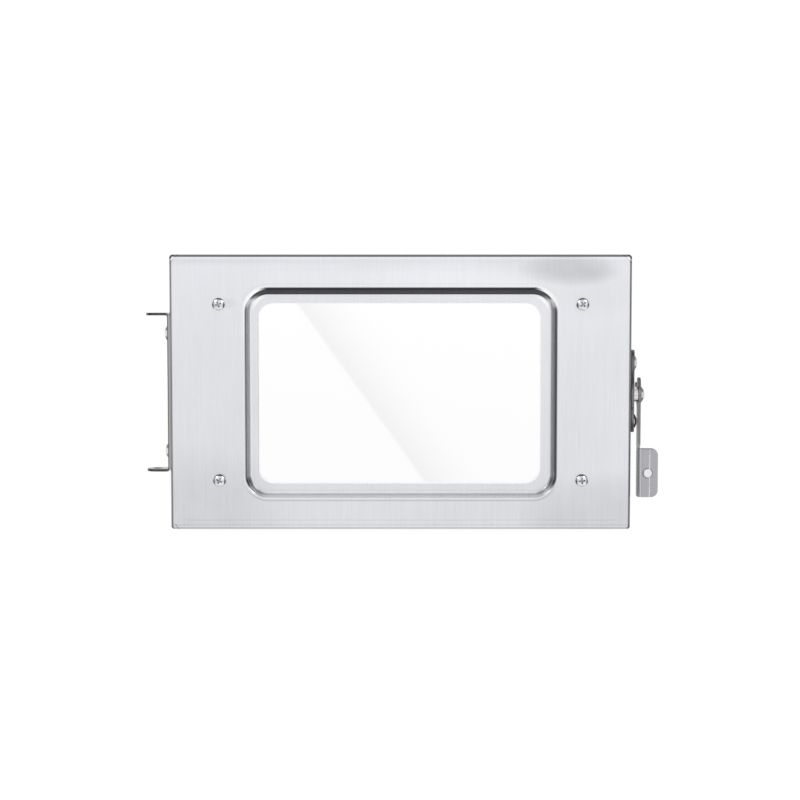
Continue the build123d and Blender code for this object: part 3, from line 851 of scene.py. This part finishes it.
class STOVE_OT_fasteners(Operator):
    """Finish the glass screws with their washers and nuts"""

    bl_idname = "stove.fasteners"
    bl_label = "Glass fasteners"

    def execute(self, context):
        finish = steel(
            "plain fastener steel", 0.70, PLAIN, 0.24, (400.0, 400.0, 400.0),
            contrast=0.14, cloud=0.12,
        )
        for corner in CROSS_TURNS:
            give(["glass_washer_" + corner, "glass_nut_" + corner], finish)
        # The head's marks paint shade on its upper rim, its lower sides and its cross recess
        head = steel(
            "screw head steel", 0.72, PLAIN, 0.13, (700.0, 700.0, 700.0),
            contrast=0.2, cloud=0.1, bump=0.3, marks=(head_rim_shade, head_sides, cross_shade),
        )
        screw = machine_screw(head)
        for corner, degrees in CROSS_TURNS.items():
            node = "glass_screw_" + corner
            low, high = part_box(node)
            place = Vector(((low.x + high.x) / 2, PANEL_LOW.y, (low.z + high.z) / 2))
            turn = {"Cross turn": math.radians(degrees)}
            piece = screw.grown("threaded_screw_" + corner, place, turn)
            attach(piece, "door")
            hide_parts(node)
        return {"FINISHED"}


class STOVE_OT_hinge(Operator):
    """Finish the hinge channel and its rivets"""

    bl_idname = "stove.hinge"
    bl_label = "Hinge bracket"

    def execute(self, context):
        channel = steel(
            "dull channel sheet", 0.42, PLAIN, 0.34, (500.0, 500.0, 60.0),
            cloud=0.12, marks=(ear_edge_shade, pin_bore_shade, web_edge_shade),
        )
        give(["hinge_bracket"], channel)
        dome = steel(
            "bright rivet domes", 0.66, PLAIN, 0.2, (300.0, 300.0, 300.0),
            cloud=0.06, marks=(dome_rim_shade,),
        )
        give(["hinge_rivet_upper", "hinge_rivet_lower"], dome)
        return {"FINISHED"}


class STOVE_OT_latch(Operator):
    """Finish the latch plate, pivot, lever and finger tab"""

    bl_idname = "stove.latch"
    bl_label = "Lever latch"

    def execute(self, context):
        plate = steel(
            "dark plate sheet", 0.19, WARM, 0.34, (700.0, 700.0, 90.0),
            contrast=0.3, cloud=0.25, marks=(plate_stains, plate_gap_shadow),
        )
        give(["latch_plate"], plate)
        lever = steel(
            "lever sheet", 0.43, COOL, 0.38, (1400.0, 1400.0, 36.0),
            contrast=0.16, cloud=0.06,
            marks=(arm_shade, tab_rivet_ring, tab_crease_highlight, tab_bend_highlight, tab_edge_shade),
        )
        give(["latch_lever"], lever)
        bush = steel(
            "turned bright steel", 0.68, PLAIN, 0.2, (200.0, 900.0, 900.0), cloud=0.10,
        )
        give(["pivot_bush"], bush)
        tab_rivet = steel(
            "bright tab rivet", 0.86, COOL, 0.3, (900.0, 900.0, 900.0),
            contrast=0.14, cloud=0.10,
        )
        give(["tab_rivet"], tab_rivet)
        dome = steel(
            "pivot and plate domes", 0.55, PLAIN, 0.2, (300.0, 300.0, 300.0),
            cloud=0.12, marks=(dome_rim_shade,),
        )
        give(["pivot_rivet", "latch_plate_rivet_upper", "latch_plate_rivet_lower"], dome)
        return {"FINISHED"}


def backdrop_material():
    """White paper that keeps the door's soft shadow. It doesn't show from behind."""
    material, s = new_material("white backdrop")
    paper_grey, shadow_grey, glow_strength = 0.8, 0.28, 0.80
    seen = s.node("ShaderNodeLightPath", {}, {}, "Is Camera Ray")
    outputs = seen.output.node.outputs
    glossy = Socket(s, outputs["Is Glossy Ray"])
    passed = Socket(s, outputs["Is Transmission Ray"])
    shown = (seen + glossy + passed).clamped()
    behind_glass = Socket(s, outputs["Transparent Depth"]).between(0.0, 1.0)
    paper = s.node("ShaderNodeBsdfDiffuse", {}, {"Color": grey(paper_grey)})
    faint = s.node("ShaderNodeBsdfDiffuse", {}, {"Color": grey(shadow_grey)})
    glow = s.node("ShaderNodeEmission", {}, {"Color": grey(1.0), "Strength": glow_strength})
    lit = s.node("ShaderNodeAddShader", {}, {0: faint, 1: glow})
    white = s.node("ShaderNodeEmission", {}, {"Color": grey(1.0), "Strength": 1.0})
    view = s.node("ShaderNodeMixShader", {}, {0: behind_glass, 1: lit, 2: white})
    front = s.node("ShaderNodeMixShader", {}, {0: shown, 1: paper, 2: view})
    back = s.node("ShaderNodeBsdfTransparent", {}, {})
    facing = s.node("ShaderNodeNewGeometry", {}, {}, "Backfacing")
    s.surface(s.node("ShaderNodeMixShader", {}, {0: facing, 1: front, 2: back}))
    return material


def studio_world(settings):
    """A wide front light in a dull room.

    Right and up run from -1 to 1 over the room, and are 0 straight ahead of the door.
    """
    world = bpy.data.worlds.new("studio")
    world.use_nodes = True
    bpy.context.scene.world = world
    s = Shader(world.node_tree)
    direction = s.node("ShaderNodeTexCoord", {}, {}, "Generated")
    right, back, up = s.parts(direction)
    forward = back * -1
    down = up * -1
    slope = up.math("MAXIMUM", -0.2).math("MINIMUM", 0.16) * 1.15 + right * 0.12
    high_shade = up.between(0.2, 0.45) * 0.3
    low_light = down.between(0.24, 0.42) * 0.3
    front = slope + settings.world_front - high_shade + low_light
    aside = right.math("ABSOLUTE").between(0.62, 0.97) * 0.9
    above = up.between(0.70, 0.93) * 0.3
    under = down.between(0.7, 0.95) * 0.3
    dull = (aside + above + under).clamped()
    level = front * (1 - dull) + dull * settings.world_side
    level = level * (1 - glass_edge(right, forward, up) * 0.6)
    seen = s.node("ShaderNodeLightPath", {}, {}, "Is Camera Ray")
    room = s.node("ShaderNodeBackground", {}, {"Color": grey(1.0), "Strength": level})
    plain = s.node("ShaderNodeBackground", {}, {"Color": grey(1.0), "Strength": 1.0})
    s.surface(s.node("ShaderNodeMixShader", {}, {0: seen, 1: room, 2: plain}))


def glass_edge(right, forward, up):
    """The slanting edge beside the front light, which the glass mirrors as a pale band.

    A direction is worked out as the place on the glass where an eye before the door sees it.
    """
    across_edge = Vector((0.8147, 0.5796))
    start = Vector((-60.1 * MM, 51.5 * MM))
    fade_length = 37 * MM
    eye_distance = 996 * MM
    eye_height = 58.6 * MM
    reach = forward.math("MAXIMUM", 0.05)
    x = right / reach * eye_distance
    z = up / reach * eye_distance + eye_height
    along = (x - start.x) * across_edge.x + (z - start.y) * across_edge.y
    fade = 1 - (along / fade_length).clamped()
    near = 1 - (z * z + x * x).between(0.010, 0.022)
    return along.between(-0.4 * MM, 0.4 * MM) * fade * fade * near


class STOVE_OT_studio(Operator):
    """Set the backdrop, lamps, world and camera"""

    bl_idname = "stove.studio"
    bl_label = "Studio"

    def execute(self, context):
        settings = context.scene.studio
        scene = context.scene
        self.add_backdrop()
        self.add_lamps(settings)
        studio_world(settings)
        self.add_camera(scene, settings)
        scene.view_settings.view_transform = "Standard"
        return {"FINISHED"}

    def add_backdrop(self):
        """A sheet of paper close behind the door, as if it lay on a table under the camera."""
        depth = CAD_BOX[1].y + 0.7 * MM
        reach = 1.5
        sides = [(-reach, -reach), (reach, -reach), (reach, reach), (-reach, reach)]
        corners = [(FACE.x + x, depth, FACE.z + z) for x, z in sides]
        mesh = bpy.data.meshes.new("backdrop")
        mesh.from_pydata(corners, [], [(0, 1, 2, 3)])
        mesh.materials.append(backdrop_material())
        sheet = bpy.data.objects.new("backdrop", mesh)
        bpy.context.scene.collection.objects.link(sheet)

    def add_lamps(self, settings):
        """Two soft lamps, up to the left and to the right in front of the door."""
        away = 0.75
        for name, side in (("left", -1), ("right", 1)):
            lamp = bpy.data.lights.new("softbox " + name, "AREA")
            lamp.shape = "RECTANGLE"
            lamp.size = 0.35
            lamp.size_y = 0.5
            lamp.energy = settings.key_power
            holder = bpy.data.objects.new("softbox " + name, lamp)
            holder.location = FACE + Vector((side * away, -away, away))
            holder.rotation_mode = "QUATERNION"
            holder.rotation_quaternion = (FACE - holder.location).to_track_quat("-Z", "Y")
            bpy.context.scene.collection.objects.link(holder)

    def add_camera(self, scene, settings):
        """The camera looks a little below the door's middle, as the photograph frames it."""
        camera = bpy.data.cameras.new("camera")
        focal_pixels = settings.distance / (MM_PER_PIXEL * MM)
        camera.sensor_width = 36.0
        camera.lens = focal_pixels / PHOTO_PIXELS * camera.sensor_width
        camera.clip_start = 0.01
        camera.clip_end = 20.0
        holder = bpy.data.objects.new("camera", camera)
        lean = Vector((0.0, -math.cos(settings.elevation), math.sin(settings.elevation)))
        holder.location = FACE + lean * settings.distance
        half = PHOTO_PIXELS / 2
        aside = (half - DOOR_MIDDLE_PIXEL[0]) * MM_PER_PIXEL * MM
        below = (half - DOOR_MIDDLE_PIXEL[1]) * MM_PER_PIXEL * MM
        aim = FACE + Vector((aside, 0.0, -below))
        holder.rotation_mode = "QUATERNION"
        holder.rotation_quaternion = (aim - holder.location).to_track_quat("-Z", "Y")
        scene.collection.objects.link(holder)
        scene.camera = holder


class STOVE_PT_door(Panel):
    """Lists the operators and their settings"""

    bl_idname = "STOVE_PT_door"
    bl_label = "Stove door"
    bl_space_type = "VIEW_3D"
    bl_region_type = "UI"
    bl_category = "Stove door"

    def draw(self, context):
        layout = self.layout
        for group in (context.scene.door_finish, context.scene.studio):
            for name in group.__annotations__:
                layout.prop(group, name)
        for operator in OPERATORS:
            layout.operator(operator.bl_idname)


GROUPS = (DoorFinish, StudioSettings)
OPERATORS = (
    STOVE_OT_panel,
    STOVE_OT_glazing,
    STOVE_OT_fasteners,
    STOVE_OT_hinge,
    STOVE_OT_latch,
    STOVE_OT_studio,
)


def register():
    for item in GROUPS + OPERATORS + (STOVE_PT_door,):
        bpy.utils.register_class(item)
    bpy.types.Scene.door_finish = PointerProperty(type=DoorFinish)
    bpy.types.Scene.studio = PointerProperty(type=StudioSettings)


def unregister():
    del bpy.types.Scene.studio
    del bpy.types.Scene.door_finish
    for item in reversed(GROUPS + OPERATORS + (STOVE_PT_door,)):
        bpy.utils.unregister_class(item)


def main():
    register()
    for operator in OPERATORS:
        family, name = operator.bl_idname.split(".")
        getattr(getattr(bpy.ops, family), name)()


if __name__ == "__main__":
    main()
